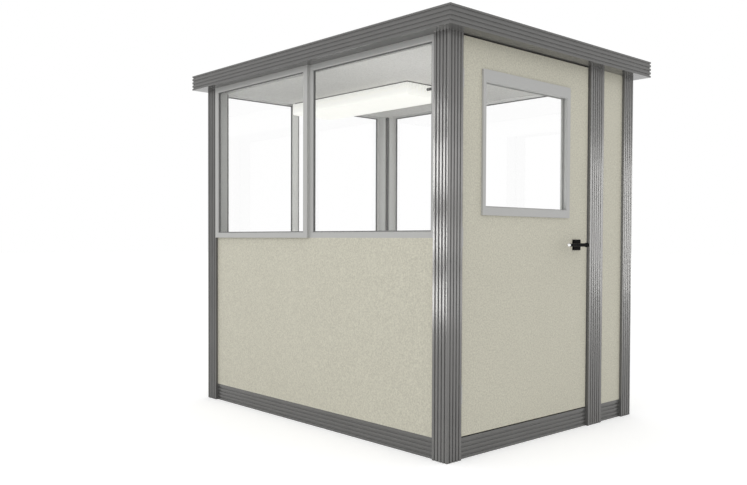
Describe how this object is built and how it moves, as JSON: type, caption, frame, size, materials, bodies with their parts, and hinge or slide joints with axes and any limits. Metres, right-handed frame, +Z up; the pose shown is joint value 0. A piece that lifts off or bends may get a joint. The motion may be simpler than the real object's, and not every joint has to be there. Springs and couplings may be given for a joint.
{
  "type": "modular in-plant office",
  "caption": "Flat-roofed modular in-plant office booth with ribbed corner posts, sandwich panels, sliding windows and a glazed swing door.",
  "frame": {"origin": "middle of the footprint, on the ground", "axes": "+Z up, the door wall faces -Y, +X runs along the door wall from the hinge side to the latch side"},
  "size_m": [1.991, 2.6, 2.3895],
  "materials": {
    "ribbed_extrusion": "grey satin extrusion with soft reflections",
    "wall_panel": "beige vinyl with a fine speckled grain",
    "window_frame": "light grey satin paint",
    "clear_glass": "clear float glass",
    "floor_deck": "grey sheet vinyl on boards",
    "bearer_steel": "dark grey painted steel",
    "ceiling": "pale grey stippled panel",
    "roof_sheet": "pale grey painted sheet",
    "light_housing": "white enamel",
    "light_lens": "white prismatic acrylic",
    "hinge_steel": "satin steel",
    "black_metal": "black satin paint"
  },
  "bodies": {
    "booth": {"post_front_left": "ribbed_extrusion", "post_front_right": "ribbed_extrusion", "post_back_left": "ribbed_extrusion", "post_back_right": "ribbed_extrusion", "door_post": "ribbed_extrusion", "base_rail_left": "ribbed_extrusion", "base_rail_right": "ribbed_extrusion", "base_rail_back": "ribbed_extrusion", "base_rail_front": "ribbed_extrusion", "door_threshold": "ribbed_extrusion", "fascia_front": "ribbed_extrusion", "fascia_back": "ribbed_extrusion", "fascia_left": "ribbed_extrusion", "fascia_right": "ribbed_extrusion", "panel_left": "wall_panel", "panel_right": "wall_panel", "panel_back": "wall_panel", "panel_front": "wall_panel", "window_frame_left": "window_frame", "window_frame_right": "window_frame", "window_frame_back": "window_frame", "outer_sash_left": "window_frame", "outer_sash_right": "window_frame", "outer_sash_back": "window_frame", "inner_sash_left": "window_frame", "inner_sash_right": "window_frame", "inner_sash_back": "window_frame", "window_glass_left": "clear_glass", "window_glass_right": "clear_glass", "window_glass_back": "clear_glass", "floor_deck": "floor_deck", "floor_bearers": "bearer_steel", "ceiling_panel": "ceiling", "roof_panel": "roof_sheet", "light_housing": "light_housing", "light_lens": "light_lens", "light_connector": "black_metal", "post_hinge_plates": "hinge_steel", "door_stops": "window_frame"},
    "door": {"door_leaf": "wall_panel", "door_glazing_frame": "window_frame", "door_glass": "clear_glass", "door_hinge_plates": "hinge_steel", "door_roses": "black_metal"},
    "handle": {"lever_spindle": "black_metal", "door_levers": "black_metal"}
  },
  "joints": [
    {"name": "door_swing", "type": "hinge", "parent": "booth", "child": "door", "pos_m": [-0.795, -1.2085, 1.2], "axis": [0, 0, -1], "range_deg": [0, 110]},
    {"name": "lever_turn", "type": "hinge", "parent": "door", "child": "handle", "pos_m": [0.2805, -1.2, 1.157], "axis": [0, -1, 0], "range_deg": [0, 45], "stiffness_Nm_per_rad": 3, "springref_deg": -34.38}
  ]
}
